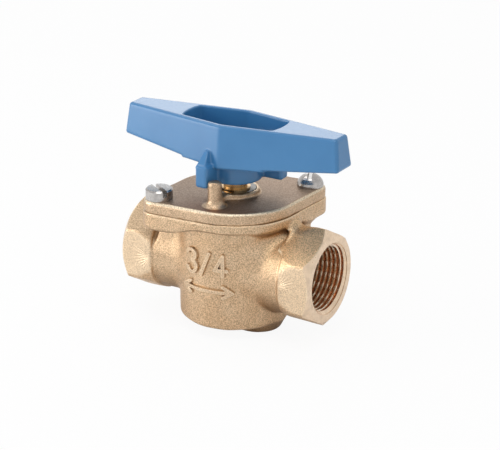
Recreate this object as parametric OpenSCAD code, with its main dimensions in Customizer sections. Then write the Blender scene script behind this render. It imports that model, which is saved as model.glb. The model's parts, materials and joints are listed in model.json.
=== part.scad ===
// Quarter-turn plug valve: cast body with threaded hexagon ports, bolted cover and bar handle.
// Millimetres, +Z up. The origin is under the middle of the base pad and the ports lie along X.

/* [Ports] */
// Distance between the two port faces
face_to_face = 80; // [79:0.5:96]
// Height of the port axis above the base
axis_height = 24.8; // [24.4:0.2:30]
// Hexagon size across flats
hex_af = 33; // [32:0.5:38]
// Length of each hexagon along the port
hex_length = 12.8; // [10:0.1:14]
// How far back the hexagon corners are turned off
hex_corner_cut = 2.4; // [1:0.1:4]
// Length over which the hexagon corners fade into the neck
hex_corner_fade = 6; // [2:0.1:8]
// How far the inner end of the hexagon stands above the neck
hex_shoulder = 1.6; // [1:0.1:2.4]
// Diameter of the flow passage
flow_d = 20; // [15:0.5:21]
// Diameter of the threaded socket at the middle of the thread depth
socket_d = 25.28; // [24.8:0.02:25.6]
// Depth of the threaded socket
socket_depth = 16; // [12:0.5:17]
// Diameter of the countersink at the port mouth
mouth_d = 26.9; // [26:0.1:28]

/* [Body] */
// Length of the flare where each neck meets the barrel
flare_length = 9; // [6:0.5:11]
// How much the flare widens the neck
flare_rise = 2; // [1:0.1:2.6]
// How far the middle of each neck lies below the port axis
neck_drop = 0.6; // [0:0.1:1]
// Radius of the hollow between the flange and the hexagon, about the stem
hollow_r = 26.4; // [25.6:0.1:27]
// How far the wall under each screw ear stands out from the port axis at its top
wall_reach = 14.2; // [12.5:0.1:15]
// Distance of the top of that wall from the stem, along the ports
wall_start = 12; // [10:0.1:13]
// Length of the top of that wall
wall_length = 10.8; // [9:0.1:12]
// Diameter of the chamber that holds the plug
chamber_d = 33; // [32:0.5:35]
// Wall of the barrel under the flange
barrel_wall = 4.6; // [3:0.1:6]
// How much the barrel radius shrinks towards the base
barrel_taper = 0.4; // [0:0.1:1.5]
// Rounding at the foot of the barrel
base_round = 3; // [1:0.25:5]
// Length of the base pad
pad_length = 37; // [28:0.5:40]
// Width of the base pad
pad_width = 17.2; // [14:0.1:24]
// How much the base pad widens towards the barrel
pad_flare = 1.4; // [0.4:0.1:2]
// Height of the base pad
pad_height = 2.7; // [1:0.1:3.6]
// Thickness of the body flange
flange_t = 3.8; // [2.5:0.1:6]
// Depth of the screw ears below the joint
ear_depth = 6.6; // [5.5:0.1:9]
// Distance from the stem at which the flange starts to thicken towards its ears
wedge_start = 18; // [16:0.5:21]

/* [Cover] */
// Diameter of the round part of the cover
cover_d = 49; // [46:0.5:54]
// Thickness of the cover plate
cover_t = 4.4; // [3.5:0.1:6]
// Rounding of the upper cover edge
cover_round = 1.2; // [0.4:0.1:2]
// How far the body flange stands out past the cover
flange_ledge = 0.3; // [0.2:0.1:1.5]
// Length of the spigot that centres the cover in the body
spigot_h = 4; // [3.4:0.1:7]
// Diameter of the raised ring around the stem
ring_d = 19; // [18.6:0.1:22]
// Height of the raised ring above the cover
ring_h = 1.2; // [0.6:0.1:3]
// Depth of the recess inside the raised ring
recess_depth = 1; // [0.8:0.1:1.6]
// Section of the cover O-ring
cover_o_ring_t = 1.7; // [1.2:0.05:2]

/* [Stop pin] */
// Diameter of the stop pin at its foot
pin_d = 5.3; // [4.4:0.1:6]
// Height of the stop pin above the cover
pin_h = 9.2; // [7.5:0.1:11]
// Radius of the fillet at the foot of the stop pin
pin_fillet = 2.6; // [1:0.1:3]
// Sideways place of the stop pin
pin_x = 1.4; // [0:0.1:1.6]
// Distance of the stop pin in front of the stem
pin_reach = 16.7; // [16:0.1:18]

/* [Cover screws] */
// Distance between the two cover screws
screw_spacing = 57.2; // [56:0.1:62]
// Rounding radius of the cover ears
ear_round = 5.7; // [5.4:0.1:8]
// Thread diameter of the cover screws
screw_d = 6; // [5:0.5:7]
// Length of the cover screws under the head
screw_length = 9; // [7.5:0.5:11]
// Head diameter of the cover screws
head_d = 10; // [9:0.1:10.6]
// Height of the cylindrical screw head
head_h = 3.9; // [3:0.1:5]
// Height of the domed screw head
dome_h = 4.7; // [3.6:0.1:4.9]
// Width of the screwdriver slots
slot_w = 1.7; // [1:0.1:2.2]
// Depth of the slot in the cylindrical screw head
slot_depth = 2.3; // [1:0.1:2.6]
// Depth of the slot in the domed screw head
dome_slot_depth = 1.2; // [0.8:0.1:2]

/* [Plug and seats] */
// Height of plug above and below the flow passage
plug_land = 5.4; // [4.8:0.1:7]
// Chamfer at the ends of the plug
plug_chamfer = 0.6; // [0.3:0.1:1.5]
// Radial width of the seat rings
seat_w = 3; // [2:0.1:3.2]
// Length of the seat rings behind the plug
seat_l = 3.4; // [2.4:0.1:4]
// Section of the O-rings behind the seats
seat_o_ring_t = 1.6; // [1.2:0.05:1.8]
// Diameter of the plug trunnion
trunnion_d = 8; // [6:0.5:12]
// Length of the plug trunnion
trunnion_l = 4.8; // [3:0.1:5.6]
// Wall of the bush around the trunnion
lower_bush_wall = 2; // [1:0.1:3]
// Thickness of the washer under the plug
lower_washer_t = 1.4; // [0.8:0.1:1.8]

/* [Stem] */
// Diameter of the sealed stem shaft
shaft_d = 11; // [10.4:0.1:11.4]
// Diameter of the stem collar
collar_d = 17; // [15:0.5:24]
// Thickness of the stem collar
collar_t = 1.8; // [1.2:0.1:3]
// Thickness of the washer over the collar
thrust_t = 0.6; // [0.4:0.1:1.5]
// Width of the driving tongue
tongue_w = 6; // [4:0.5:8]
// Length of the driving tongue
tongue_l = 15; // [10:0.5:22]
// Height of the driving tongue
tongue_h = 3.2; // [2:0.1:3.8]
// Section of the stem O-rings
stem_o_ring_t = 1.4; // [1:0.05:1.5]
// Wall of the stem bush
bush_wall = 1.4; // [0.8:0.1:1.6]
// Thickness of the gland washer
gland_washer_t = 0.7; // [0.4:0.1:1]
// Thickness of the retaining ring
clip_t = 0.9; // [0.6:0.05:1.2]
// Radial width of the retaining ring
clip_w = 2.7; // [1.4:0.1:2.8]
// Width of the opening in the retaining ring
clip_opening = 8.4; // [3:0.1:9]
// Diameter of the stem between cover and handle
stem_d = 8.8; // [8.2:0.1:9.6]
// Size of the handle square across flats
square_af = 7; // [6.4:0.1:7.4]

/* [Handle] */
// Free height between cover and handle hub
handle_gap = 5.8; // [4.6:0.1:6.6]
// Diameter of the handle hub
hub_d = 20; // [16:0.5:24]
// Height of the handle hub
hub_h = 7.4; // [6:0.1:12]
// Handle length along its top face
handle_length = 87.6; // [80:0.2:110]
// Handle width at the middle of its top face
handle_mid_w = 23.2; // [21:0.2:26]
// Handle width at the ends of its top face
handle_end_w = 8.5; // [6:0.1:14]
// Height of the handle at its middle
handle_h = 15.2; // [13:0.1:18]
// Slope of the handle sides in degrees
handle_draft = 6.7; // [1:0.1:9]
// Diameter of the round middle of the handle
disc_d = 39.4; // [37:0.2:46]
// How far the arms start above the round middle
arm_step = 0.9; // [0.3:0.1:2]
// How far the underside of the arms climbs towards the tips
arm_rise = 2.4; // [0:0.1:4]
// Wall between the pocket and the handle sides
pocket_wall = 2.2; // [1.4:0.1:3]
// Diameter across the round ends of the pocket
pocket_d = 39.4; // [32:0.2:44]
// Depth of the pocket
pocket_depth = 11.2; // [8:0.1:11.6]
// Material between the square and the pocket floor
handle_floor = 2.2; // [1.5:0.1:3]
// Thickness of the stop lugs
lug_w = 5; // [4:0.1:7]
// Reach of the front stop lug from the stem
lug_reach = 17.8; // [17:0.1:19]
// Reach of the side stop lug from the stem
side_lug_reach = 17; // [16:0.1:18.5]
// Thickness of the rib above the front lug
gusset_w = 4.4; // [3:0.1:5]
// Thickness of that rib at its top
gusset_top_w = 2.6; // [1.6:0.1:3]
// How far the top of that rib stands out from the handle
gusset_proud = 1.6; // [0.8:0.1:2.4]
// Height of the rib above the front lug
gusset_h = 4.4; // [2:0.1:6]

/* [Handle screw] */
// Thread diameter of the handle screw
grip_screw_d = 4; // [3:0.5:4.5]
// Length of the handle screw under the head
grip_screw_length = 12; // [8:0.5:16]
// Head diameter of the handle screw
grip_head_d = 8; // [7:0.1:9]
// Head height of the handle screw
grip_head_h = 2.8; // [2:0.1:3.6]
// Diameter of the handle washer
grip_washer_d = 10; // [9.2:0.1:13]
// Thickness of the handle washer
grip_washer_t = 1; // [0.6:0.1:1.6]

/* [Hidden] */
$fn = 64;

// Clearances: turning faces, resting fits, plug in its chamber, lugs at the stop pin.
turn_gap = 0.05;
fit_gap = 0.04;
plug_gap = 0.1;
stop_gap = 0.15;
seal_gap = 0.03;

// Heights, stacked from the base to the handle.
plug_half = flow_d / 2 + plug_land;
plug_bottom = axis_height - plug_half;
plug_top = axis_height + plug_half;
floor_z = plug_bottom - turn_gap - lower_washer_t;
bush_hole_z = plug_bottom - trunnion_l - 0.3;
collar_z = plug_top + turn_gap;
thrust_z = collar_z + collar_t + turn_gap;
spigot_z = thrust_z + thrust_t;
joint_z = spigot_z + spigot_h;
flange_z = joint_z - flange_t;
ear_z = joint_z - ear_depth;
screw_hole_z = joint_z + cover_t - screw_length - 0.6;
cover_top = joint_z + cover_t;
ring_top = cover_top + ring_h;
recess_z = ring_top - recess_depth;
clip_z = recess_z + gland_washer_t + turn_gap;
shoulder_z = clip_z + clip_t + 0.5;
hub_z = cover_top + handle_gap;
disc_z = hub_z + hub_h;
handle_top = disc_z + handle_h;
pocket_z = handle_top - pocket_depth;
socket_top = pocket_z - handle_floor;
stem_top = socket_top - fit_gap;

// Radii and lengths that follow from the sizes above.
port_end = face_to_face / 2;
flow_r = flow_d / 2;
chamber_r = chamber_d / 2;
plug_r = chamber_r - plug_gap;
barrel_r = chamber_r + barrel_wall;
neck_r = hex_af / 2 - 0.9;
hex_start = port_end - hex_length;
hex_corner_r = hex_af / sqrt(3);
hex_inner_r = neck_r + hex_shoulder;
port_face_r = hex_af / 2 - 0.2;
socket_start = port_end - socket_depth;
socket_r = socket_d / 2;
mouth_depth = mouth_d / 2 - socket_r;
seat_r = flow_r + seat_w;
seat_end = plug_r + turn_gap + seat_l;
seat_pocket_end = seat_end + seat_o_ring_t + 2 * seal_gap;
trunnion_r = trunnion_d / 2;
lower_bush_r = trunnion_r + turn_gap + lower_bush_wall;
shaft_r = shaft_d / 2;
stem_bore_r = shaft_r + turn_gap;
bush_r = stem_bore_r + bush_wall;
bush_z = joint_z + 1.4;
ring_r = ring_d / 2;
recess_r = ring_r - 1.6;
spigot_r = chamber_r - fit_gap;
ear_u = screw_spacing / 2;
screw_r = screw_d / 2;
pin_r = pin_d / 2;
lobe_r = pin_r + 0.1;
pin_distance = norm([pin_x, pin_reach]);
left_lug_face = pin_x - pin_r - stop_gap;
right_lug_face = pin_x + pin_r + stop_gap;
disc_r = disc_d / 2;
draft = tan(handle_draft);
arm_tip = handle_length / 2 + draft * handle_h;
lug_top = disc_z + 1;
flange_r = cover_d / 2 + flange_ledge;
flange_ear_r = ear_round + flange_ledge;

// Turns a shape drawn along Z so that it lies on the port axis and points to +X.
module along_port(x) {
    translate([x, 0, axis_height])
        rotate([0, 90, 0])
            children();
}

// Draws a shape once at each of two places half a turn apart.
module both_sides() {
    for (turn = [0, 180])
        rotate([0, 0, turn])
            children();
}

// Places a shape over the screw ears on the diagonal.
module at_ears() {
    for (turn = [45, 225])
        rotate([0, 0, turn])
            translate([ear_u, 0, 0])
                children();
}

module tube(outer, inner, z, h) {
    difference() {
        translate([0, 0, z])
            cylinder(r = outer, h = h);
        translate([0, 0, z - 1])
            cylinder(r = inner, h = h + 2);
    }
}

module o_ring(middle, section) {
    rotate_extrude()
        translate([middle, 0])
            circle(d = section, $fn = 32);
}

// Straight sides that join a disc to a smaller round lobe, just inside the tangents.
function lobe_sides(disc, lobe, reach) = let(
    lean = acos((disc - lobe) / reach), d = disc - 0.02, e = lobe - 0.02,
    near = [reach + e * cos(lean), e * sin(lean)], far = [d * cos(lean), d * sin(lean)])
    [[far[0], -far[1]], [near[0], -near[1]], near, far];

function oval_sides(disc, ear) = let(side = lobe_sides(disc, ear, ear_u))
    concat(side, [for (p = side) -p]);

// Slice of an oval plate that narrows upwards by an inset.
module oval_slice(disc, ear, h, inset) {
    cylinder(r1 = disc, r2 = disc - inset, h = h);
    at_ears()
        cylinder(r1 = ear, r2 = ear - inset, h = h);
    rotate([0, 0, 45])
        loft(oval_sides(disc, ear), oval_sides(disc - inset, ear - inset), 0, h);
}

// Oval plate with a rounded upper edge: a disc with two ears.
module oval_plate(disc, ear, z, h, edge) {
    translate([0, 0, z])
        oval_slice(disc, ear, h - edge, 0);
    translate([0, 0, z + h - edge])
        oval_slice(disc, ear, 0.7 * edge, 0.3 * edge);
    translate([0, 0, z + h - 0.3 * edge])
        oval_slice(disc - 0.3 * edge, ear - 0.3 * edge, 0.3 * edge, 0.7 * edge);
}

// Solid between two outlines of equal point count at two heights.
module loft(low, high, z_low, z_high) {
    n = len(low);
    polyhedron(
        points = concat([for (p = low) [p[0], p[1], z_low]], [for (p = high) [p[0], p[1], z_high]]),
        faces = concat(
            [[for (i = [0 : n - 1]) i]],
            [[for (i = [n - 1 : -1 : 0]) i + n]],
            [for (i = [0 : n - 1]) [i, i + n, (i + 1) % n + n, (i + 1) % n]]));
}

// Flow passage, seat pocket and threaded socket with a countersunk mouth. The socket is
// bored to the middle of the thread depth.
module port_socket() {
    along_port(0)
        cylinder(r = flow_r, h = socket_start + 1);
    along_port(0)
        cylinder(r = seat_r + fit_gap, h = seat_pocket_end);
    along_port(socket_start)
        cylinder(r = socket_r, h = socket_depth + 1);
    along_port(port_end - mouth_depth)
        cylinder(r1 = socket_r, r2 = socket_r + mouth_depth + 1, h = mouth_depth + 1);
}

module hex_end() {
    slope = (hex_corner_r - port_face_r) / hex_corner_cut;
    fade = (hex_corner_r - hex_inner_r) / hex_corner_fade;
    along_port(hex_start)
        intersection() {
            cylinder(r = hex_corner_r, h = hex_length, $fn = 6);
            cylinder(r1 = port_face_r + slope * hex_length, r2 = port_face_r, h = hex_length);
            cylinder(r1 = hex_inner_r, r2 = hex_inner_r + fade * hex_length, h = hex_length);
        }
}

// Upper flats of the hexagon, which run in to the round hollow beside the flange.
module hex_shelf() {
    shelf = hex_start - hollow_r / 2;
    difference() {
        along_port(hex_start - shelf)
            intersection() {
                cylinder(r = hex_corner_r, h = shelf + 1, $fn = 6);
                cylinder(r = hex_inner_r, h = shelf + 1);
            }
        cylinder(r = hollow_r, h = joint_z);
        translate([0, -hex_af / 2, 0])
            cube([port_end, hex_af, axis_height + 0.35 * hex_af]);
    }
}

module neck() {
    translate([0, 0, -neck_drop]) {
        along_port(0)
            cylinder(r = neck_r, h = hex_start + 1);
        along_port(barrel_r - flare_length)
            cylinder(r1 = neck_r + flare_rise, r2 = neck_r, h = flare_length);
    }
}

function barrel_outline() = let(
    foot_r = barrel_r - barrel_taper,
    middle = [foot_r - base_round, pad_height + base_round])
    concat(
        [[0, pad_height]],
        [for (a = [-90 : 15 : 0]) middle + base_round * [cos(a), sin(a)]],
        [[barrel_r, flange_z + 1], [0, flange_z + 1]]);

function pad_middle(half, r) = let(w = r - 0.01)
    [[half, -w], [half, w], [-half, w], [-half, -w]];

// Oval pad under the barrel, wider at the top.
module base_pad() {
    half = (pad_length - pad_width) / 2;
    low_r = pad_width / 2;
    high_r = low_r + pad_flare;
    loft(pad_middle(half, low_r), pad_middle(half, high_r), 0, pad_height + 0.5);
    for (side = [-1, 1])
        translate([side * half, 0, 0])
            cylinder(r1 = low_r, r2 = high_r, h = pad_height + 0.5);
}

// Thickening of the flange towards its screw ears, on a sloping underside.
module ear_wedges() {
    intersection() {
        translate([0, 0, ear_z])
            oval_slice(flange_r - 0.1, flange_ear_r - 0.1, flange_z - ear_z + 0.5, 0);
        both_sides()
            rotate([0, 0, 45])
                translate([0, cover_d, 0])
                    rotate([90, 0, 0])
                        linear_extrude(2 * cover_d)
                            polygon([[wedge_start, flange_z], [ear_u - ear_round / 2, ear_z],
                                [ear_u + 2 * ear_round, ear_z - 1], [ear_u + 2 * ear_round, flange_z + 1],
                                [wedge_start, flange_z + 1]]);
    }
}

// Wall between each screw ear and the neck below it, longer and flatter towards the neck.
function wall_plan(near, far, reach) =
    [[-far, -reach], [-near, -reach], [-near, -flow_r], [-far, -flow_r]];

module ear_wall() {
    loft(wall_plan(wall_start, hex_start + 0.4, neck_r),
        wall_plan(wall_start, wall_start + wall_length, wall_reach), axis_height + 1, flange_z + 0.5);
}

module valve_body() {
    color("#c79a62")
        difference() {
            union() {
                rotate_extrude()
                    polygon(barrel_outline());
                base_pad();
                oval_plate(flange_r, flange_ear_r, flange_z, flange_t, 0.3);
                ear_wedges();
                both_sides() {
                    neck();
                    hex_end();
                    hex_shelf();
                    ear_wall();
                }
            }
            translate([0, 0, floor_z])
                cylinder(r = chamber_r, h = joint_z);
            translate([0, 0, bush_hole_z])
                cylinder(r = lower_bush_r + fit_gap, h = joint_z);
            both_sides()
                port_socket();
            at_ears()
                translate([0, 0, screw_hole_z])
                    cylinder(r = screw_r + fit_gap, h = joint_z);
        }
}

// Stop pin with a filleted foot and a rounded top, cast with the cover.
function pin_outline() = let(top_r = pin_r - 0.15)
    concat(
        [[0, -1], [pin_r + pin_fillet, -1]],
        [for (a = [270 : -15 : 180]) [pin_r + pin_fillet, pin_fillet] + pin_fillet * [cos(a), sin(a)]],
        [for (a = [0 : 15 : 90]) [top_r - 1, pin_h - 1] + [cos(a), sin(a)]],
        [[0, pin_h]]);

// Raised ring around the stem, drawn out to a lobe under the stop pin.
module cover_ring() {
    height = cover_t + ring_h - 1;
    translate([0, 0, joint_z + 1]) {
        cylinder(r = ring_r, h = height);
        rotate([0, 0, -atan2(pin_reach, pin_x)]) {
            loft(lobe_sides(ring_r, lobe_r, pin_distance), lobe_sides(ring_r, lobe_r, pin_distance),
                0, height);
            translate([pin_distance, 0, 0])
                cylinder(r = lobe_r, h = height);
        }
    }
}

module cover() {
    color("#b98f5e")
        difference() {
            union() {
                oval_plate(cover_d / 2, ear_round, joint_z, cover_t, cover_round);
                translate([0, 0, spigot_z])
                    cylinder(r = spigot_r, h = spigot_h + 1);
                cover_ring();
                translate([pin_x, -pin_reach, cover_top])
                    rotate_extrude()
                        polygon(pin_outline());
            }
            translate([0, 0, spigot_z - 1])
                cylinder(r = stem_bore_r, h = joint_z);
            translate([0, 0, bush_z])
                cylinder(r = bush_r + fit_gap, h = joint_z);
            translate([0, 0, recess_z])
                cylinder(r = recess_r, h = joint_z);
            translate([0, 0, spigot_z + 1.1])
                tube(chamber_r + 1, chamber_r - cover_o_ring_t - 3 * seal_gap, 0, cover_o_ring_t + 0.1);
            at_ears()
                cylinder(r = screw_r + 0.3, h = 2 * cover_top);
        }
}

module cover_o_ring() {
    color("#1c1c1c")
        translate([0, 0, spigot_z + 1.15 + cover_o_ring_t / 2])
            o_ring(chamber_r - seal_gap - cover_o_ring_t / 2, cover_o_ring_t);
}

module screw_shank() {
    translate([0, 0, -screw_length])
        cylinder(r1 = screw_r - 0.8, r2 = screw_r, h = 0.8);
    translate([0, 0, 0.8 - screw_length])
        cylinder(r = screw_r, h = screw_length);
}

module head_slot(top, depth) {
    translate([-head_d, -slot_w / 2, top - depth])
        cube([2 * head_d, slot_w, depth + 1]);
}

// Slotted cheese-head screw at the front left ear.
module cover_screw_left() {
    color("#c9ccd0")
        rotate([0, 0, 225])
            translate([ear_u, 0, cover_top])
                difference() {
                    union() {
                        screw_shank();
                        cylinder(d = head_d, h = head_h - 0.5);
                        translate([0, 0, head_h - 0.5])
                            cylinder(d1 = head_d, d2 = head_d - 1, h = 0.5);
                    }
                    rotate([0, 0, 103])
                        head_slot(head_h, slot_depth);
                }
}

// Slotted round-head screw at the rear right ear.
function dome_outline() = let(rim = 0.8, rise = dome_h - rim,
    ball = ((head_d / 2) * (head_d / 2) + rise * rise) / (2 * rise), sweep = asin(head_d / 2 / ball))
    concat(
        [[0, 0], [head_d / 2, 0]],
        [for (i = [8 : -1 : 0]) [ball * sin(sweep * i / 8), dome_h - ball + ball * cos(sweep * i / 8)]]);

module cover_screw_right() {
    color("#c9ccd0")
        rotate([0, 0, 45])
            translate([ear_u, 0, cover_top])
                difference() {
                    union() {
                        screw_shank();
                        rotate_extrude()
                            polygon(dome_outline());
                    }
                    rotate([0, 0, 66])
                        head_slot(dome_h, dome_slot_depth);
                }
}

module plug() {
    color("#d6b06a")
        difference() {
            union() {
                translate([0, 0, plug_bottom])
                    cylinder(r1 = plug_r - plug_chamfer, r2 = plug_r, h = plug_chamfer);
                translate([0, 0, plug_bottom + plug_chamfer])
                    cylinder(r = plug_r, h = 2 * (plug_half - plug_chamfer));
                translate([0, 0, plug_top - plug_chamfer])
                    cylinder(r1 = plug_r, r2 = plug_r - plug_chamfer, h = plug_chamfer);
                translate([0, 0, plug_bottom - trunnion_l])
                    cylinder(r = trunnion_r, h = trunnion_l + 1);
            }
            along_port(-chamber_d)
                cylinder(r = flow_r, h = 2 * chamber_d);
            translate([-tongue_l / 2 - fit_gap, -tongue_w / 2 - fit_gap, plug_top - tongue_h - 0.2])
                cube([tongue_l + 2 * fit_gap, tongue_w + 2 * fit_gap, tongue_h + 2]);
        }
}

module lower_bush() {
    color("#e8e4da")
        tube(lower_bush_r, trunnion_r + turn_gap, bush_hole_z, floor_z - bush_hole_z);
}

module lower_thrust_washer() {
    color("#e8e4da")
        tube(chamber_r - 1.5, trunnion_r + 0.3, floor_z, lower_washer_t);
}

// Seat ring whose inner end follows the round plug.
module seat_ring() {
    difference() {
        along_port(0)
            cylinder(r = seat_r, h = seat_end);
        along_port(-1)
            cylinder(r = flow_r, h = seat_end + 2);
        translate([0, 0, axis_height - chamber_d])
            cylinder(r = plug_r + turn_gap, h = 2 * chamber_d);
    }
}

module seat_ring_right() {
    color("#efece4")
        seat_ring();
}

module seat_ring_left() {
    color("#efece4")
        rotate([0, 0, 180])
            seat_ring();
}

module seat_o_ring() {
    along_port(seat_end + seal_gap + seat_o_ring_t / 2)
        o_ring(seat_r - seal_gap - seat_o_ring_t / 2, seat_o_ring_t);
}

module seat_o_ring_right() {
    color("#1c1c1c")
        seat_o_ring();
}

module seat_o_ring_left() {
    color("#1c1c1c")
        rotate([0, 0, 180])
            seat_o_ring();
}

// Heights of the two stem O-rings inside the cover bore.
lower_ring_z = spigot_z + 1.6;
upper_ring_z = joint_z + 0.2;
stem_ring_r = stem_bore_r - seal_gap - stem_o_ring_t / 2;

module ring_groove(z) {
    tube(shaft_r + 1, stem_ring_r - stem_o_ring_t / 2 - seal_gap, z - stem_o_ring_t / 2 - 0.1,
        stem_o_ring_t + 0.2);
}

module stem() {
    color("#cda65c")
        difference() {
            union() {
                translate([-tongue_l / 2, -tongue_w / 2, collar_z - tongue_h])
                    cube([tongue_l, tongue_w, tongue_h + 0.5]);
                translate([0, 0, collar_z])
                    cylinder(d = collar_d, h = collar_t);
                translate([0, 0, collar_z])
                    cylinder(r = shaft_r, h = shoulder_z - collar_z);
                translate([0, 0, collar_z])
                    cylinder(d = stem_d, h = hub_z - 0.3 - collar_z);
                intersection() {
                    translate([0, 0, collar_z + 1])
                        cylinder(d = stem_d, h = stem_top - collar_z - 1);
                    translate([-square_af / 2, -square_af / 2, collar_z])
                        cube([square_af, square_af, stem_top]);
                }
            }
            ring_groove(lower_ring_z);
            ring_groove(upper_ring_z);
            tube(shaft_r + 1, shaft_r - 0.6, clip_z - 0.02, clip_t + 0.04);
            translate([0, 0, pocket_z + grip_washer_t - grip_screw_length - 1])
                cylinder(d = grip_screw_d + 2 * fit_gap, h = stem_top);
        }
}

module stem_o_ring_lower() {
    color("#1c1c1c")
        translate([0, 0, lower_ring_z])
            o_ring(stem_ring_r, stem_o_ring_t);
}

module stem_o_ring_upper() {
    color("#1c1c1c")
        translate([0, 0, upper_ring_z])
            o_ring(stem_ring_r, stem_o_ring_t);
}

module stem_thrust_washer() {
    color("#e8e4da")
        tube(collar_d / 2, shaft_r + 0.1, thrust_z, thrust_t);
}

module stem_bush() {
    color("#e8e4da")
        tube(bush_r, stem_bore_r, bush_z, recess_z - bush_z);
}

module gland_washer() {
    color("#cda65c")
        tube(recess_r - 0.15, shaft_r + 0.1, recess_z, gland_washer_t);
}

// Open spring ring that holds the stem down in the cover.
module retaining_ring() {
    inner = shaft_r - 0.6 + fit_gap;
    color("#c9ccd0")
        difference() {
            tube(inner + clip_w, inner, clip_z, clip_t);
            rotate([0, 0, 255])
                translate([0, -clip_opening / 2, clip_z - 1])
                    cube([ring_d, clip_opening, clip_t + 2]);
        }
}

// Handle plan, grown outwards by a distance from the top outline.
function handle_outline(grow) = let(
    a = handle_length / 2, b = handle_mid_w / 2, e = handle_end_w / 2,
    fall = (b - e) / a, tip = a + grow, middle = b + grow * norm([b - e, a]) / a, end = middle - fall * tip)
    [[tip, -end], [tip, end], [0, middle], [-tip, end], [-tip, -end], [0, -middle]];

module arm_undercut() {
    climb = arm_rise / (arm_tip - disc_r);
    reach = 1.1 * arm_tip;
    for (side = [0, 1])
        mirror([side, 0, 0])
            translate([0, handle_mid_w, 0])
                rotate([90, 0, 0])
                    linear_extrude(2 * handle_mid_w)
                        polygon([[0, disc_z - 1], [reach, disc_z - 1],
                            [reach, disc_z + arm_step + climb * (reach - disc_r)],
                            [disc_r, disc_z + arm_step], [0, disc_z + arm_step]]);
}

module stop_lugs() {
    translate([left_lug_face - lug_w, -lug_reach, hub_z])
        cube([lug_w, lug_reach, lug_top - hub_z]);
    translate([0, right_lug_face, hub_z])
        cube([side_lug_reach, lug_w, lug_top - hub_z]);
}

// Rib between the front lug and the side of the handle, narrower at its top.
module lug_gusset() {
    low = lug_top - 0.5;
    high = lug_top + gusset_h;
    translate([left_lug_face - lug_w / 2, 0, 0])
        intersection() {
            translate([-lug_w / 2, 0, 0])
                rotate([90, 0, 90])
                    linear_extrude(lug_w)
                        polygon([[1 - lug_reach, low], [0, low], [0, high],
                            [-handle_mid_w / 2 - gusset_proud, high]]);
            rotate([90, 0, 0])
                linear_extrude(lug_reach)
                    polygon([[-gusset_w / 2, low], [gusset_w / 2, low],
                        [gusset_top_w / 2, high], [-gusset_top_w / 2, high]]);
        }
}

module pocket() {
    intersection() {
        loft(handle_outline(-pocket_wall - 0.4), handle_outline(-pocket_wall), pocket_z, handle_top + 0.01);
        translate([0, 0, pocket_z])
            cylinder(d1 = pocket_d - 1, d2 = pocket_d, h = pocket_depth + 1);
    }
}

module handle() {
    color("#3f78b0")
        difference() {
            union() {
                difference() {
                    loft(handle_outline(draft * handle_h), handle_outline(0), disc_z, handle_top);
                    difference() {
                        arm_undercut();
                        cylinder(d = disc_d, h = handle_top);
                    }
                }
                translate([0, 0, hub_z])
                    cylinder(d = hub_d, h = hub_h + 1);
                stop_lugs();
                lug_gusset();
            }
            pocket();
            translate([-square_af / 2 - fit_gap, -square_af / 2 - fit_gap, hub_z - 1])
                cube([square_af + 2 * fit_gap, square_af + 2 * fit_gap, socket_top - hub_z + 1]);
            cylinder(d = grip_screw_d + 0.6, h = handle_top);
        }
}

module handle_washer() {
    color("#b9bcc0")
        tube(grip_washer_d / 2, grip_screw_d / 2 + 0.2, pocket_z, grip_washer_t);
}

// Slotted pan-head screw that holds the handle on the stem.
module handle_screw() {
    color("#c9ccd0")
        translate([0, 0, pocket_z + grip_washer_t])
            difference() {
                union() {
                    translate([0, 0, -grip_screw_length])
                        cylinder(d = grip_screw_d, h = grip_screw_length + 0.5);
                    cylinder(d = grip_head_d, h = grip_head_h - 0.7);
                    translate([0, 0, grip_head_h - 0.7])
                        cylinder(d1 = grip_head_d, d2 = grip_head_d - 1.8, h = 0.7);
                }
                rotate([0, 0, 35])
                    translate([-grip_head_d, -0.6, grip_head_h - 1.2])
                        cube([2 * grip_head_d, 1.2, 2]);
            }
}

valve_body();
cover();
cover_o_ring();
cover_screw_left();
cover_screw_right();
plug();
lower_bush();
lower_thrust_washer();
seat_ring_left();
seat_ring_right();
seat_o_ring_left();
seat_o_ring_right();
stem();
stem_o_ring_lower();
stem_o_ring_upper();
stem_thrust_washer();
stem_bush();
gland_washer();
retaining_ring();
handle();
handle_washer();
handle_screw();
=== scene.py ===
"""Looks of a quarter-turn plug valve.

Sand-cast body and cover, blue bar handle, turned brass and plated screws.
"""
import json
import math

import bmesh
import bpy
import numpy as np
from mathutils import Matrix, Vector


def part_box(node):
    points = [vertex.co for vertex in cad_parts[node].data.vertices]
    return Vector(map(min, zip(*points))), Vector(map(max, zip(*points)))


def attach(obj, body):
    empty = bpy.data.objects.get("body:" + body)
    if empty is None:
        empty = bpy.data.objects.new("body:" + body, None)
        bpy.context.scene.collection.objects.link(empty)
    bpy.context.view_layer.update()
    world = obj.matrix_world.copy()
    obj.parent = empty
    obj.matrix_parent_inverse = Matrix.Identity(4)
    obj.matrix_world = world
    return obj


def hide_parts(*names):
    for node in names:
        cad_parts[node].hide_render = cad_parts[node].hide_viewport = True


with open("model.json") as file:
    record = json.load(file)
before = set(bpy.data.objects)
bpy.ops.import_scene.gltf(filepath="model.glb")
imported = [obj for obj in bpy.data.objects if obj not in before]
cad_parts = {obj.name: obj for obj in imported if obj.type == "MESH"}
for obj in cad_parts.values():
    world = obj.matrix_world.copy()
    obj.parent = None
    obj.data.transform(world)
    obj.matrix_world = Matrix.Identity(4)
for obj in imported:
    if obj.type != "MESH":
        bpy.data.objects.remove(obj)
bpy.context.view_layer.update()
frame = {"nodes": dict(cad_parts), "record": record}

MM = 0.001
rng = np.random.default_rng(11)


# Sizes in millimetres, from the frame
def box_mm(node):
    return [np.array(corner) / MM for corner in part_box(node)]


body_low, body_high = box_mm("valve_body")
cover_low, cover_high = box_mm("cover")
handle_low, handle_high = box_mm("handle")
right_port = next(m for m in frame["record"]["mounts"] if m["name"] == "port_right")

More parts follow.
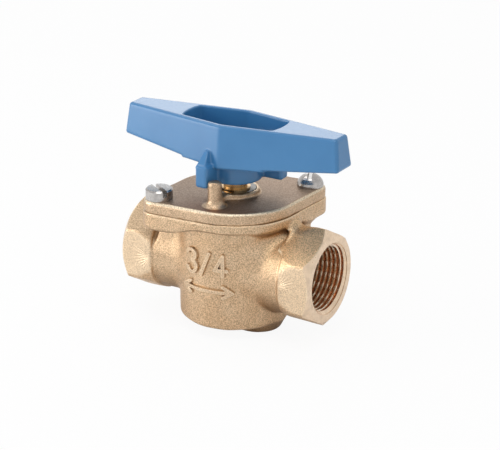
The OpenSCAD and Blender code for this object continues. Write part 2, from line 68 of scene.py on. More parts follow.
PORT_END = body_high[0]
AXIS_Z = right_port["pos_m"][2] / MM
PITCH_R = right_port["dims"]["r_mm"]
JOINT_Z = body_high[2]
SPIGOT_Z = cover_low[2]
PIN_TOP = cover_high[2]
HUB_Z = handle_low[2]
HANDLE_TOP = handle_high[2]
POCKET_Z = box_mm("handle_washer")[0][2]
RECESS_Z = box_mm("gland_washer")[0][2]
CHAMBER_FLOOR = box_mm("lower_thrust_washer")[0][2]
BUSH_FLOOR = box_mm("lower_bush")[0][2]
BUSH_R = box_mm("lower_bush")[1][0]

# How far forms reach into each other, and cutters past what they cut
OVERLAP = 1
RUN_ON = 2
CUT_SPARE = 4
CUT_R = 45
AWAY = 9

# Body casting: hexagon ports
HEX_FLAT = 16.5
HEX_CORNER_R = 2 * HEX_FLAT / math.sqrt(3)
HEX_START = PORT_END - 12.8
HEX_INNER_R = 17.2
HEX_FADE_LENGTH = 6
HEX_FADE = (HEX_CORNER_R - HEX_INNER_R) / HEX_FADE_LENGTH
HEX_FADE_SCALE = 0.95
HEX_CREASE = 0.25
HEX_EDGE_ROUND = 0.9
HEX_END_ROUND = 0.7
HEX_FILLET = 1
HOLLOW_R = 26.4
SHELF_RISE = 0.7 * HEX_FLAT
SHELF_ROUND = 2

# Body casting: barrel, base and necks
BARREL_R = 21.1
BARREL_TAPER = 0.4
BASE_ROUND = 1.5
BASE_Z = 3.8
PAD_HEIGHT = 2.7
PAD_END = 9.9
PAD_R = 8.6
PAD_FLARE = 1.4
PAD_ROUND = 0.8
PAD_SCALE = 0.9
PAD_FILLET = 0.3
NECK_R = 15.6
NECK_DROP = 0.6
NECK_FILLET_LOW = 1.2
NECK_FILLET_GAIN = 2.8
NECK_FILLET_FROM = -11

# Body casting: flange, ears and the walls below them
FLANGE_Z = JOINT_Z - 3.8
FLANGE_DISC = 24.8
FLANGE_EAR = 6
FLANGE_SPARE = 0.1
FLANGE_LIP_ROUND = 1.4
FLANGE_TOP_ROUND = 0.8
FLANGE_FILLET = 0.5
EAR_Z = JOINT_Z - 6.6
EAR_U = 28.6
WEDGE_START = 17
WALL_FOOT = AXIS_Z + 1
WALL_FAR = HEX_START + 0.4
WALL_FAR_LEAN = 4.8
WALL_NEAR = 12
WALL_REACH = NECK_R - 0.5
WALL_REACH_LEAN = 0.9
WALL_INNER = 3
WALL_ROUND = 1.2
WALL_FILLET = 1.6

# Web that grows between flange and neck, more on the sides without an ear
WEB_GAIN = 2.7
WEB_SPAN = (14, 21)
EARLESS_GAIN = 2.5
EARLESS_SPAN = (12, 18)
EARLESS_AREA = (-150, -50)

# Body bores
CHAMBER_R = 16.5
FLOW_R = 10
PASSAGE_START = 8
SEAT_R = 13.04
SEAT_END = 21.5
SCREW_HOLE_R = 3.04
SCREW_HOLE_DEPTH = 5.2

# Raised marks
MARK_RISE = 0.9
MARK_STROKE = 0.8
MARK_SLOPE = 0.18
MARK_SINK = 0.4
MARK_DEPTH = 2
MARK_CELL = 0.16
MARK_HALF = np.array([12, 11])

# Port thread and machined port end
THREAD_PITCH = 1.814
THREAD_HALF_DEPTH = 0.58
THREAD_SHARPNESS = 1.35
THREAD_ROWS = 18
CREST_R = PITCH_R - THREAD_HALF_DEPTH
ROOT_R = PITCH_R + THREAD_HALF_DEPTH
SOCKET_START = PORT_END - 16
RUNOUT_START = SOCKET_START + 1
RUNOUT_LENGTH = 2
MOUTH_R = 13.45
MOUTH_STEP = 0.1
MOUTH_LEAD = 1.2
MOUTH_LAND = 0.25
FACE_R = 16.3
CORNER_CUT = 2.4
TURNING_R = 24

# Cover casting
COVER_DISC = 24.5
COVER_EAR = 5.7
COVER_TOP = JOINT_Z + 4.4
COVER_ROUND = 1.3
COVER_FOOT_ROUND = 0.6
COVER_SPARE = 0.08
COVER_WAVES = 0.6
COVER_HOLE_R = 3.3
RING_R = 8.95
RING_TOP = COVER_TOP + 1.7
RING_ROUND = 0.45
RING_FILLET = 0.8
RIB_HALF = 1.1
RIB_ROUND = 0.6
RIB_FILLET = 2
RECESS_R = 7.9
STEM_BORE_R = 5.55
BUSH_BORE_R = STEM_BORE_R + 1.44
BUSH_BORE_Z = JOINT_Z + 1.4
SPIGOT_R = CHAMBER_R - 0.04
GROOVE_R = CHAMBER_R - 1.79
GROOVE_LOW = SPIGOT_Z + 1.1
GROOVE_HIGH = SPIGOT_Z + 2.9
PIN_X = 1.4
PIN_Y = -16.7
PIN_R = 2.65
PIN_ROUND = 1.0
PIN_TAPER = 0.016
PIN_FILLET = 2.6

# Handle bar and pocket
HANDLE_HALF = 43.8
HANDLE_MID = 11.6
HANDLE_END = 4.25
HANDLE_DRAFT = math.radians(6.7)
HANDLE_CREASE = 0.8
EDGE_ROUND = 1.1
DISC_Z = HANDLE_TOP - 15.2
DISC_R = 19.7
DISC_ROUND = 0.5
DISC_FILLET = 0.4
ARM_STEP = 0.9
ARM_RISE = 2.4
ARM_RUN = 25.9
ARM_CLIMB = ARM_RISE / ARM_RUN
POCKET_WALL = 2.2
POCKET_R = 19.7
POCKET_DRAFT = math.radians(2)
POCKET_LEAN = 0.04
POCKET_ROUND = 0.5
POCKET_EDGE = 0.45

# Handle hub, stop lugs and the rib above the front lug
HUB_R = 10
HUB_ROUND = 0.7
LUG_TOP = DISC_Z + OVERLAP
LUG_REACH = 17.8
SIDE_LUG_REACH = 17
LUG_W = 5
LUG_ROUND = 1.1
LUG_FILLET = 1
STOP_GAP = 0.15
LEFT_LUG_FACE = PIN_X - PIN_R - STOP_GAP
RIGHT_LUG_FACE = PIN_X + PIN_R + STOP_GAP
GUSSET_HEIGHT = 4.4
GUSSET_TOP = LUG_TOP + GUSSET_HEIGHT
GUSSET_SETBACK = 1
GUSSET_LEAN = 3.6
GUSSET_SCALE = 0.77
GUSSET_SHIFT = 0.5
GUSSET_HALF = 1.8
GUSSET_TAPER = 0.2
GUSSET_ROUND = 0.4
HANDLE_FILLET = 0.5
SQUARE = 7.08
SOCKET_TOP = POCKET_Z - 2.2
HANDLE_HOLE_R = 2.3

# Grids that the castings and the handle are meshed on
BODY_CELL = 0.45
BODY_MARGIN = np.array([3.3, 2.2, 2.2])
COVER_CELL = 0.5
COVER_GRID_LOW = np.array([-30, -30, JOINT_Z - 3])
COVER_GRID_HIGH = np.array([30, 30, PIN_TOP + 2])
HANDLE_CELL = 0.4
HANDLE_MARGIN = 1.2


# Distance functions: negative inside a shape, in millimetres
def rounded(radius, *sides):
    """Inside all of the given sides, with the edges between them rounded."""
    deepest = sides[0]
    outside = 0
    for side in sides:
        deepest = np.maximum(deepest, side)
        outside = outside + np.maximum(side + radius, 0) ** 2
    return np.minimum(deepest, -radius) + np.sqrt(outside)


def fillet(radius, first, second):
    """Both shapes together, with a hollow fillet where they meet."""
    near = np.sqrt(np.maximum(radius - first, 0) ** 2 + np.maximum(radius - second, 0) ** 2)
    return np.maximum(radius, np.minimum(first, second)) - near


def soft_abs(value, width):
    """Size of a value, with the crease at nought rounded."""
    return np.sqrt(value * value + width * width)


def lobe(u, v, disc, tip, reach):
    """Plan of a disc at the origin joined by straight tangents to a smaller disc along u."""
    side_v = np.abs(v)
    lean = (disc - tip) / reach
    upright = math.sqrt(1 - lean * lean)
    place = upright * u - lean * side_v
    side = upright * side_v + lean * u - disc
    far = np.hypot(v, u - reach) - tip
    return np.where(place < 0, np.hypot(u, v) - disc, np.where(place > upright * reach, far, side))


def oval(x, y, disc, ear):
    """Plan of a disc with two ears on the diagonal."""
    return lobe(np.abs(x + y) / math.sqrt(2), (x - y) / math.sqrt(2), disc, ear, EAR_U)


def step(value, low, high):
    """Smooth step from nought to one."""
    share = np.clip((value - low) / (high - low), 0, 1)
    return share * share * (3 - 2 * share)


WAVE_COUNT = 9
WAVE_RATE = 0.35
WAVE_HEIGHT = 0.022
waves = [(rng.normal(size=3) * WAVE_RATE, rng.uniform(0, 2 * math.pi)) for _ in range(WAVE_COUNT)]


def cast_waves(x, y, z):
    """Slow unevenness of a sand casting, about a tenth of a millimetre."""
    return WAVE_HEIGHT * sum(np.sin(k[0] * x + k[1] * y + k[2] * z + phase) for k, phase in waves)


def hexagon(y, z, flat):
    """Hexagon with corners at the top and bottom, its edges slightly rounded."""
    side = soft_abs(y, HEX_CREASE)
    return rounded(HEX_EDGE_ROUND, side - flat, 0.5 * side + math.sin(math.pi / 3) * np.abs(z) - flat)


def hex_port(along, y, height):
    """Hexagon port: its corners fade at the inner end, and its upper flats run in to a round hollow."""
    fade = np.hypot(y, height) - HEX_INNER_R - HEX_FADE * np.maximum(along - HEX_START, 0)
    shelf = rounded(SHELF_ROUND, HOLLOW_R - np.hypot(along, y), SHELF_RISE - height)
    inner = fillet(SHELF_ROUND, HEX_START - along, shelf)
    end = along - PORT_END - RUN_ON
    return rounded(HEX_END_ROUND, hexagon(y, height, HEX_FLAT), HEX_FADE_SCALE * fade, inner, end)


def ear_wall(x, y, z):
    """Wall between a screw ear and the neck below it, longer towards the neck."""
    rise = np.clip((z - WALL_FOOT) / (FLANGE_Z - WALL_FOOT), 0, 1)
    along, across = np.abs(x), np.abs(y)
    far = along - WALL_FAR + WALL_FAR_LEAN * rise
    reach = across - WALL_REACH + WALL_REACH_LEAN * rise
    top = z - FLANGE_Z - RUN_ON
    wall = rounded(WALL_ROUND, far, WALL_NEAR - along, reach, WALL_INNER - across, WALL_FOOT - z, top)
    return np.where(x * y > 0, wall, AWAY)


def barrel_radius(z):
    return BARREL_R - BARREL_TAPER * (FLANGE_Z - z) / (FLANGE_Z - PAD_HEIGHT)


def body_form(x, y, z):
    """Body casting before its marks, faces and bores."""
    along = np.abs(x)
    height = z - AXIS_Z
    barrel = rounded(BASE_ROUND, np.hypot(x, y) - barrel_radius(z), BASE_Z - z)
    barrel = np.maximum(barrel, z - JOINT_Z - OVERLAP)
    pad_plan = np.hypot(np.maximum(along - PAD_END, 0), y) - PAD_R - PAD_FLARE * z / PAD_HEIGHT
    pad = np.maximum(rounded(PAD_ROUND, PAD_SCALE * pad_plan, -z), z - PAD_HEIGHT - RUN_ON)
    form = fillet(PAD_FILLET, barrel, pad)
    neck = np.maximum(np.hypot(y, height + NECK_DROP) - NECK_R, along - HEX_START - RUN_ON)
    form = fillet(NECK_FILLET_LOW + NECK_FILLET_GAIN * step(height, NECK_FILLET_FROM, 0), form, neck)
    form = fillet(HEX_FILLET, form, hex_port(along, y, height))
    form = fillet(WALL_FILLET, form, ear_wall(x, y, z))
    u = np.abs(x + y) / math.sqrt(2)
    underside = FLANGE_Z - (FLANGE_Z - EAR_Z) * step(u, WEDGE_START, EAR_U)
    flange = rounded(FLANGE_LIP_ROUND, oval(x, y, FLANGE_DISC, FLANGE_EAR), underside - z)
    flange = rounded(FLANGE_TOP_ROUND, flange, z - JOINT_Z - FLANGE_SPARE)
    earless = step(along, *EARLESS_SPAN) * step(-x * y, *EARLESS_AREA)
    web = WEB_GAIN * step(along, *WEB_SPAN) + EARLESS_GAIN * earless
    form = fillet(FLANGE_FILLET + web, form, flange)
    return form + cast_waves(x, y, z)


def cover_form(x, y, z):
    """Cover casting before its spigot and bores."""
    plate = rounded(COVER_ROUND, oval(x, y, COVER_DISC, COVER_EAR), z - COVER_TOP)
    plate = rounded(COVER_FOOT_ROUND, plate, JOINT_Z - COVER_SPARE - z)
    foot = JOINT_Z + OVERLAP - z
    reach = math.hypot(PIN_X, PIN_Y)
    u = (x * PIN_X + y * PIN_Y) / reach
    v = (x * PIN_Y - y * PIN_X) / reach
    ring = rounded(RING_ROUND, np.hypot(x, y) - RING_R, z - RING_TOP)
    rib = rounded(RIB_ROUND, np.abs(v) - RIB_HALF, -u, u - reach, z - RING_TOP)
    ring = np.maximum(fillet(RIB_FILLET, ring, rib), foot)
    pin_side = np.hypot(x - PIN_X, y - PIN_Y) - PIN_R + PIN_TAPER * (z - COVER_TOP)
    pin = np.maximum(rounded(PIN_ROUND, pin_side, z - PIN_TOP), foot)
    form = fillet(PIN_FILLET, fillet(RING_FILLET, plate, ring), pin)
    return form + COVER_WAVES * cast_waves(x, y, z)


def handle_sides(x, y, z, inset, draft):
    """Distance outside the long sides of the handle, which lean by the draft."""
    length = math.hypot(HANDLE_MID - HANDLE_END, HANDLE_HALF)
    lean, face = (HANDLE_MID - HANDLE_END) / length, HANDLE_HALF / length
    across = lean * soft_abs(x, HANDLE_CREASE) + face * np.abs(y) - face * HANDLE_MID + inset
    return (across - math.tan(draft) * (HANDLE_TOP - z)) * math.cos(draft)


def stop_lug(across, tip, root, z):
    return rounded(LUG_ROUND, np.abs(across) - LUG_W / 2, tip, root, HUB_Z - z, z - LUG_TOP)


def handle_form(x, y, z):
    """Handle before its square socket and screw hole."""
    along = np.abs(x)
    radial = np.hypot(x, y)
    sides = handle_sides(x, y, z, 0, HANDLE_DRAFT)
    ends = (along - HANDLE_HALF - math.tan(HANDLE_DRAFT) * (HANDLE_TOP - z)) * math.cos(HANDLE_DRAFT)
    under = DISC_Z + ARM_STEP + ARM_CLIMB * (along - DISC_R) - z
    below = fillet(DISC_FILLET, under, rounded(DISC_ROUND, DISC_Z - z, radial - DISC_R))
    bar = rounded(EDGE_ROUND, z - HANDLE_TOP, sides, ends, below)
    pocket_sides = handle_sides(x, y, z, POCKET_WALL, -POCKET_DRAFT)
    pocket_ends = radial - POCKET_R + POCKET_LEAN * (HANDLE_TOP - z)
    pocket = rounded(POCKET_ROUND, pocket_sides, pocket_ends, POCKET_Z - z)
    bar = rounded(POCKET_EDGE, bar, -pocket)
    hub = rounded(HUB_ROUND, radial - HUB_R, HUB_Z - z, z - LUG_TOP)
    middle = LEFT_LUG_FACE - LUG_W / 2
    front_lug = stop_lug(x - middle, -LUG_REACH - y, y, z)
    side_lug = stop_lug(y - RIGHT_LUG_FACE - LUG_W / 2, x - SIDE_LUG_REACH, -x, z)
    foot = fillet(LUG_FILLET, hub, np.minimum(front_lug, side_lug))
    rise = z - LUG_TOP
    front = (-LUG_REACH + GUSSET_SETBACK + GUSSET_LEAN * rise / GUSSET_HEIGHT - y) * GUSSET_SCALE
    side = np.abs(x - middle + GUSSET_SHIFT) - GUSSET_HALF + GUSSET_TAPER * rise
    back = y + HANDLE_MID - RUN_ON
    gusset = rounded(GUSSET_ROUND, front, side, z - GUSSET_TOP, back, LUG_TOP - OVERLAP - z)
    return fillet(HANDLE_FILLET, fillet(HANDLE_FILLET, bar, foot), gusset)


def arc(middle, radius, start, stop, steps=10):
    angles = np.radians(np.linspace(start, stop, steps))
    return np.array(middle) + radius * np.stack([np.cos(angles), np.sin(angles)], 1)


# Strokes of the size figure and the flow arrow, on the unrolled front of the barrel
mark_lines = [
    np.concatenate([arc((-6.2, 7.3), 2, 160, -75), arc((-6.2, 2.9), 2.4, 75, -160)]),
    np.array([(-1.7, 0.6), (1.7, 9.2)]),
    np.array([(6.9, 1), (6.9, 8.8), (3.9, 3.2), (8.3, 3.2)]),
    np.array([(-10, -5.5), (10, -5.5)]),
    np.array([(-7, -3.4), (-10.3, -5.5), (-7, -7.6)]),
    np.array([(7, -3.4), (10.3, -5.5), (7, -7.6)]),
]


def mark_gap(grid):
    """Distance from each point of a grid to the nearest stroke."""
    nearest = np.full(grid.shape[:2], float(AWAY))
    for line in mark_lines:
        for start, stop in zip(line, line[1:]):
            run = stop - start
            share = np.clip((grid - start) @ run / (run @ run), 0, 1)
            gap = np.linalg.norm(grid - start - share[..., None] * run, axis=-1)
            nearest = np.minimum(nearest, gap)
    return nearest


# Meshes
SETTLE_ROUNDS = 4
SETTLE_PROBE = 0.1
SETTLE_MOVE = 0.4
LEAST_SLOPE = 0.25


def link(name, mesh):
    piece = bpy.data.objects.new(name, mesh)
    bpy.context.scene.collection.objects.link(piece)
    return piece


def skin(name, form, low, high, cell, limits):
    """Mesh over the zero surface of a form, kept in limits.

    Each cell of the grid that the surface crosses gets one point.
    """
    axes = [np.arange(a, b + cell, cell, dtype=np.float32) for a, b in zip(low, high)]
    field = form(axes[0][:, None, None], axes[1][None, :, None], axes[2][None, None, :])
    cells = [n - 1 for n in field.shape]
    total = cells[0] * cells[1] * cells[2]
    place_sum = np.zeros((3, total))
    count = np.zeros(total)
    quads = []
    for axis in range(3):
        before = np.moveaxis(field, axis, 0)[:-1]
        after = np.moveaxis(field, axis, 0)[1:]
        crossed = np.argwhere((before < 0) != (after < 0))
        crossed = crossed[np.all(crossed[:, 1:] > 0, axis=1)]
        first = before[tuple(crossed.T)]
        second = after[tuple(crossed.T)]
        others = [a for a in range(3) if a != axis]
        index = np.zeros((len(crossed), 3), int)
        index[:, axis] = crossed[:, 0]
        index[:, others[0]] = crossed[:, 1]
        index[:, others[1]] = crossed[:, 2]
        place = index.astype(float)
        place[:, axis] += first / (first - second)
        ring = []
        for da, db in ((-1, -1), (0, -1), (0, 0), (-1, 0)):
            near = index.copy()
            near[:, others[0]] += da
            near[:, others[1]] += db
            flat = np.ravel_multi_index(tuple(np.minimum(near, np.array(cells) - 1).T), cells)
            ring.append(flat)
            count += np.bincount(flat, minlength=total)
            for k in range(3):
                place_sum[k] += np.bincount(flat, weights=place[:, k], minlength=total)
        ring = np.array(ring).T
        outward = (first < 0) == (axis != 1)
        ring[~outward] = ring[~outward][:, ::-1]
        quads.append(ring)
    used = np.flatnonzero(count)
    points = (place_sum[:, used] / count[used]).T * cell + np.array(low)
    number = np.zeros(total, int)
    number[used] = np.arange(len(used))
    points = np.clip(settle(points, form, cell), *limits)
    faces = number[np.concatenate(quads)]
    mesh = bpy.data.meshes.new(name)
    mesh.from_pydata((points * MM).tolist(), [], faces.tolist())
    mesh.update()
    return link(name, mesh)


def settle(points, form, cell):
    """Moves points onto the zero surface along its slope."""
    probe = SETTLE_PROBE * cell
    longest = SETTLE_MOVE * cell
    for _ in range(SETTLE_ROUNDS):
        x, y, z = points.T
        value = form(x, y, z)
        slope = np.stack([form(x + probe, y, z) - form(x - probe, y, z),
                          form(x, y + probe, z) - form(x, y - probe, z),
                          form(x, y, z + probe) - form(x, y, z - probe)], 1) / (2 * probe)
        steep = np.maximum((slope ** 2).sum(1), LEAST_SLOPE)
        move = np.clip(value / steep, -longest, longest)
        points = points - move[:, None] * slope
    return points


def turned(name, profile, segments=96, radius_at=None):
    """Closed solid turned about Z from (radius, height) points that start and end on the axis.

    A radius of None is taken from radius_at, which knows the angles and the height.
    """
    angles = np.linspace(0, 2 * math.pi, segments, endpoint=False)
    form = bmesh.new()
    rings = []
    for radius, height in profile[1:-1]:
        radii = radius_at(angles, height) if radius is None else np.full(segments, radius)
        rings.append([form.verts.new((r * math.cos(a) * MM, r * math.sin(a) * MM, height * MM))
                      for r, a in zip(radii, angles)])
    for lower, upper in zip(rings, rings[1:]):
        for i in range(segments):
            k = (i + 1) % segments
            form.faces.new((lower[i], lower[k], upper[k], upper[i]))
    for ring, height, flip in ((rings[0], profile[0][1], True), (rings[-1], profile[-1][1], False)):
        tip = form.verts.new((0, 0, height * MM))
        for i in range(segments):
            pair = (ring[i], ring[(i + 1) % segments])
            form.faces.new((pair[1], pair[0], tip) if flip else (pair[0], pair[1], tip))
    mesh = bpy.data.meshes.new(name)
    form.to_mesh(mesh)
    form.free()
    return link(name, mesh)


def cylinder(name, radius, low, high, segments=96):
    return turned(name, [(0, low), (radius, low), (radius, high), (0, high)], segments)


def along_port(piece, side):
    """Lays a piece turned about Z on the port axis, pointing to +X or -X."""
    turn = Vector((0, 0, 1)).rotation_difference(Vector((side, 0, 0))).to_matrix().to_4x4()
    piece.data.transform(turn)
    piece.data.transform(Matrix.Translation((0, 0, AXIS_Z * MM)))
    return piece


def thread_radius(angles, height):
    """Radius of the port thread, a rounded profile on a right-hand helix that runs out at its inner end."""
    phase = (height / THREAD_PITCH - angles / (2 * math.pi)) % 1
    wave = np.clip(THREAD_SHARPNESS * np.cos(2 * math.pi * phase), -1, 1)
    fade = np.clip((height - RUNOUT_START) / RUNOUT_LENGTH, 0, 1)
    return CREST_R + (ROOT_R - CREST_R) * (0.5 + 0.5 * wave) * fade


def carve(piece, cutter, operation="DIFFERENCE"):
    change = piece.modifiers.new("carve", "BOOLEAN")
    change.operation = operation
    change.object = cutter
    change.solver = "MANIFOLD"
    with bpy.context.temp_override(object=piece, active_object=piece):
        bpy.ops.object.modifier_apply(modifier=change.name)
    bpy.data.objects.remove(cutter)


def paint(piece, index):
    """Gives every face of a cutter the material slot that its cut takes."""
    piece.data.polygons.foreach_set("material_index", np.full(len(piece.data.polygons), index, np.int32))
    return piece


def smooth(piece, degrees=32):
    mesh = piece.data
    mesh.polygons.foreach_set("use_smooth", np.ones(len(mesh.polygons), bool))
    mesh.set_sharp_from_angle(angle=math.radians(degrees))


# Materials
class Graph:
    """Shader nodes of a material or a world: values are set on sockets, and sockets are linked."""

    def __init__(self, owner):
        owner.use_nodes = True
        self.owner = owner
        self.tree = owner.node_tree

    def node(self, kind, fields=None, **sockets):
        made = self.tree.nodes.new(kind)
        for field, value in (fields or {}).items():
            setattr(made, field, value)
        self.fill(made, sockets)
        return made

    def fill(self, node, sockets):
        """Sets or links sockets by name, with a low line for each space."""
        for socket, value in sockets.items():
            self.put(node.inputs[socket.replace("_", " ")], value)

    def put(self, socket, value):
        if isinstance(value, bpy.types.NodeSocket):
            self.tree.links.new(value, socket)
        else:
            socket.default_value = value

    def surface(self, **sockets):
        self.fill(self.tree.nodes["Principled BSDF"], sockets)

    def coords(self):
        return self.node("ShaderNodeTexCoord").outputs["Object"]

    def noise(self, scale_mm, detail=2.0, roughness=0.5):
        made = self.node("ShaderNodeTexNoise", Vector=self.coords(), Scale=1 / (scale_mm * MM),
                         Detail=detail, Roughness=roughness)
        return made.outputs["Fac"]

    def spread(self, value, low, high, to_low=0.0, to_high=1.0):
        """Value brought from one range to another, and held in it."""
        made = self.node("ShaderNodeMapRange", {"clamp": True}, Value=value, From_Min=low, From_Max=high,
                         To_Min=to_low, To_Max=to_high)
        return made.outputs["Result"]

    def zone(self, value, low_mm, high_mm, to_low=0.0, to_high=1.0):
        """The same for a length, with its first range in millimetres."""
        return self.spread(value, low_mm * MM, high_mm * MM, to_low, to_high)

    def mix(self, factor, first, second):
        """Mixed colour. The node's colour sockets share their names with others, so they go by number."""
        made = self.node("ShaderNodeMix", {"data_type": "RGBA"}, Factor=factor)
        self.put(made.inputs[6], first)
        self.put(made.inputs[7], second)
        return made.outputs[2]

    def blend(self, share, first, second):
        """Mixed shader."""
        made = self.node("ShaderNodeMixShader", Fac=share)
        self.put(made.inputs[1], first)
        self.put(made.inputs[2], second)
        return made.outputs["Shader"]

    def math(self, operation, first, second=0.0):
        made = self.node("ShaderNodeMath", {"operation": operation})
        self.put(made.inputs[0], first)
        self.put(made.inputs[1], second)
        return made.outputs["Value"]

    def times(self, first, second):
        return self.math("MULTIPLY", first, second)

    def plus(self, first, second):
        return self.math("ADD", first, second)

    def part(self, axis):
        """One coordinate of the place on the piece."""
        return self.node("ShaderNodeSeparateXYZ", Vector=self.coords()).outputs[axis]

    def upward(self):
        """How far the face points up, from the piece's own normal."""
        normal = self.node("ShaderNodeTexCoord").outputs["Normal"]
        return self.node("ShaderNodeSeparateXYZ", Vector=normal).outputs["Z"]

    def distance(self, first, second):
        """Length of the diagonal over two lengths."""
        return self.math("SQRT", self.plus(self.times(first, first), self.times(second, second)))

    def radius(self, about_port):
        """Distance from the port axis or from the stem axis."""
        if about_port:
            return self.distance(self.part("Y"), self.plus(self.part("Z"), -AXIS_Z * MM))
        return self.distance(self.part("X"), self.part("Y"))

    def open_share(self, reach_mm, inside):
        """Share of open space nearby: low in corners, or at edges when looked for inside the metal."""
        fields = {"inside": inside, "only_local": inside, "samples": 8}
        return self.node("ShaderNodeAmbientOcclusion", fields, Distance=reach_mm * MM).outputs["AO"]

    def bump(self, height, strength, depth_mm, before=None):
        made = self.node("ShaderNodeBump", Height=height, Strength=strength, Distance=depth_mm * MM)
        if before:
            self.put(made.inputs["Normal"], before)
        return made.outputs["Normal"]


def new_graph(name):
    return Graph(bpy.data.materials.new(name))


def darker(colour, share):
    return tuple(share * c for c in colour[:3]) + (1,)


WHITE = (1, 1, 1, 1)
# Edges lightened, partly rubbed wear and partly a painted highlight.
RUBBED_AND_HIGHLIGHT = (1.0, 0.86, 0.64, 1)
# Painted highlight on the cover's rounded rim.
RIM_PAINTED_HIGHLIGHT = (1.0, 0.85, 0.63, 1)
# Up-facing faces: painted shade on the left, painted light on the right.
UP_LEFT_PAINTED_SHADE = (0.66, 0.485, 0.315, 1)
UP_RIGHT_PAINTED_LIGHT = (0.98, 0.69, 0.41, 1)
# Upright hexagon flats painted lighter, a painted light.
SIDE_FLAT_PAINTED_LIGHT = (0.95, 0.735, 0.505, 1)
# Painted shade on the cover's flat top, and a deeper painted shadow towards its front.
COVER_TOP_PAINTED_SHADE = (0.47, 0.35, 0.26, 1)
FRONT_PAINTED_SHADOW = (0.33, 0.205, 0.14, 1)
# Painted shade under the necks, the flange lip and at the base, and in corners, where it is partly dirt.
DIRT_AND_PAINTED_SHADE = (0.22, 0.125, 0.06, 1)
SPECK = (0.1, 0.06, 0.03, 1)
THREAD_CREST = (1.0, 0.86, 0.68, 1)
# Painted shade in the thread's grooves.
GROOVE_PAINTED_SHADE_DARK = (0.62, 0.34, 0.2, 1)
GROOVE_PAINTED_SHADE_LIGHT = (0.72, 0.44, 0.28, 1)
BLUE_LIGHT = (0.054, 0.215, 0.45, 1)
BLUE_DARK = (0.045, 0.195, 0.42, 1)

# Ranges of the upward part of a face's normal
FLAT_TOP = (0.95, 0.995)
PLATED_TOP = (0.95, 0.99)
BEND_START = (0.3, 0.6)
BEND_END = (0.9, 0.98)
FACING_UP = (0.35, 0.55)
UPRIGHT = (0.12, 0.3)
UNDER_NECK = (-0.2, -0.7)
UNDER_LIP = (-0.25, -0.65)

# Ranges of place on the castings, in millimetres
ON_PLATE = (COVER_TOP + 0.2, COVER_TOP + 0.7)
ON_RIM = (COVER_TOP, COVER_TOP + 0.1)
COVER_FRONT_Y = (-9, -19)
COVER_FRONT_X = (-16, -4)
ON_HEXAGON = (HEX_START - 0.3, HEX_START + 0.5)
ON_NECK = (17, 20)
ON_LIP_Z = (EAR_Z - 2, EAR_Z - 1)
ON_LIP_X = (17, 10)
ON_BASE = (BASE_Z - 0.8, BASE_Z + 0.6)

# Shares of painted shade, specks and sand relief on the castings
# Strength of the painted shade under the necks, under the flange lip and at the base.
NECK_PAINTED_SHADE = 0.6
LIP_PAINTED_SHADE = 0.75
BASE_PAINTED_SHADE = 0.45
FLECK = 0.5
BODY_FLECK = 0.55
FLAT_FLECK = 0.35
RELIEF = 0.75
FLAT_RELIEF = 0.45
TOP_ROUGHER = 0.12

# Shrink lines on the side flats of the ports
FAN_LINES = 32.0
FAN_WAVER = 0.14
FAN_START = (0.8, 2.5)
FAN_END = (3.5, 9)
FAN_EDGE = (-0.2, 0.4)


def shrink_fan(g):
    """Fine lines that spread over a port's side flats from the middle of their inner ends."""
    out = g.plus(g.math("ABSOLUTE", g.part("X")), -HEX_START * MM)
    up = g.plus(g.part("Z"), -AXIS_Z * MM)
    reach = g.distance(out, up)
    angle = g.plus(g.math("ARCTAN2", up, out), g.times(g.noise(2.2, 2), FAN_WAVER))
    lines = g.math("SINE", g.times(angle, FAN_LINES))
    near = g.times(g.zone(reach, *FAN_START), g.zone(reach, *FAN_END, 1, 0))
    return g.times(lines, g.times(near, g.zone(out, *FAN_EDGE)))


def cover_tones(g, tone, top):
    """Flat top in painted shade, with a deeper painted shadow towards the front, and a painted highlight on
    the rounded rim.
    """
    # Painted shade on the flat top, with a deeper painted shadow towards the front.
    front = g.times(g.zone(g.part("Y"), *COVER_FRONT_Y), g.zone(g.part("X"), *COVER_FRONT_X))
    blotch = g.mix(front, COVER_TOP_PAINTED_SHADE, FRONT_PAINTED_SHADOW)
    # Painted highlight on the rounded rim.
    bend = g.times(g.spread(g.upward(), *BEND_START), g.spread(g.upward(), *BEND_END, 1, 0))
    rim = g.times(bend, g.zone(g.part("Z"), *ON_RIM, 1, 0))
    return g.mix(rim, g.mix(top, tone, blotch), RIM_PAINTED_HIGHLIGHT)


def body_tones(g, tone, outer, side_flat):
    """Painted shade below the necks, under the flange lip and at the base; up-facing faces in painted shade
    to the left and painted light to the right; upright hexagon flats painted lighter.
    """
    along = g.math("ABSOLUTE", g.part("X"))
    neck = g.times(g.zone(along, *ON_NECK), g.spread(outer, 0, 1, 1, 0))
    under_neck = g.times(neck, g.spread(g.upward(), *UNDER_NECK, 0, NECK_PAINTED_SHADE))
    lip = g.times(g.zone(g.part("Z"), *ON_LIP_Z), g.zone(g.part("X"), *ON_LIP_X))
    under_lip = g.times(lip, g.spread(g.upward(), *UNDER_LIP, 0, LIP_PAINTED_SHADE))
    # Painted shade under the necks and under the flange lip.
    tone = g.mix(g.math("MAXIMUM", under_neck, under_lip), tone, DIRT_AND_PAINTED_SHADE)
    to_right = g.zone(g.part("X"), -HEX_START, HEX_START)
    # Painted shade on up-facing faces to the left, painted light to the right.
    tone = g.mix(g.spread(g.upward(), *FACING_UP), tone, g.mix(to_right, UP_LEFT_PAINTED_SHADE, UP_RIGHT_PAINTED_LIGHT))
    # Upright hexagon flats painted lighter.
    tone = g.mix(side_flat, tone, SIDE_FLAT_PAINTED_LIGHT)
    # Painted shade along the foot of the base.
    return g.mix(g.zone(g.part("Z"), *ON_BASE, BASE_PAINTED_SHADE, 0), tone, DIRT_AND_PAINTED_SHADE)


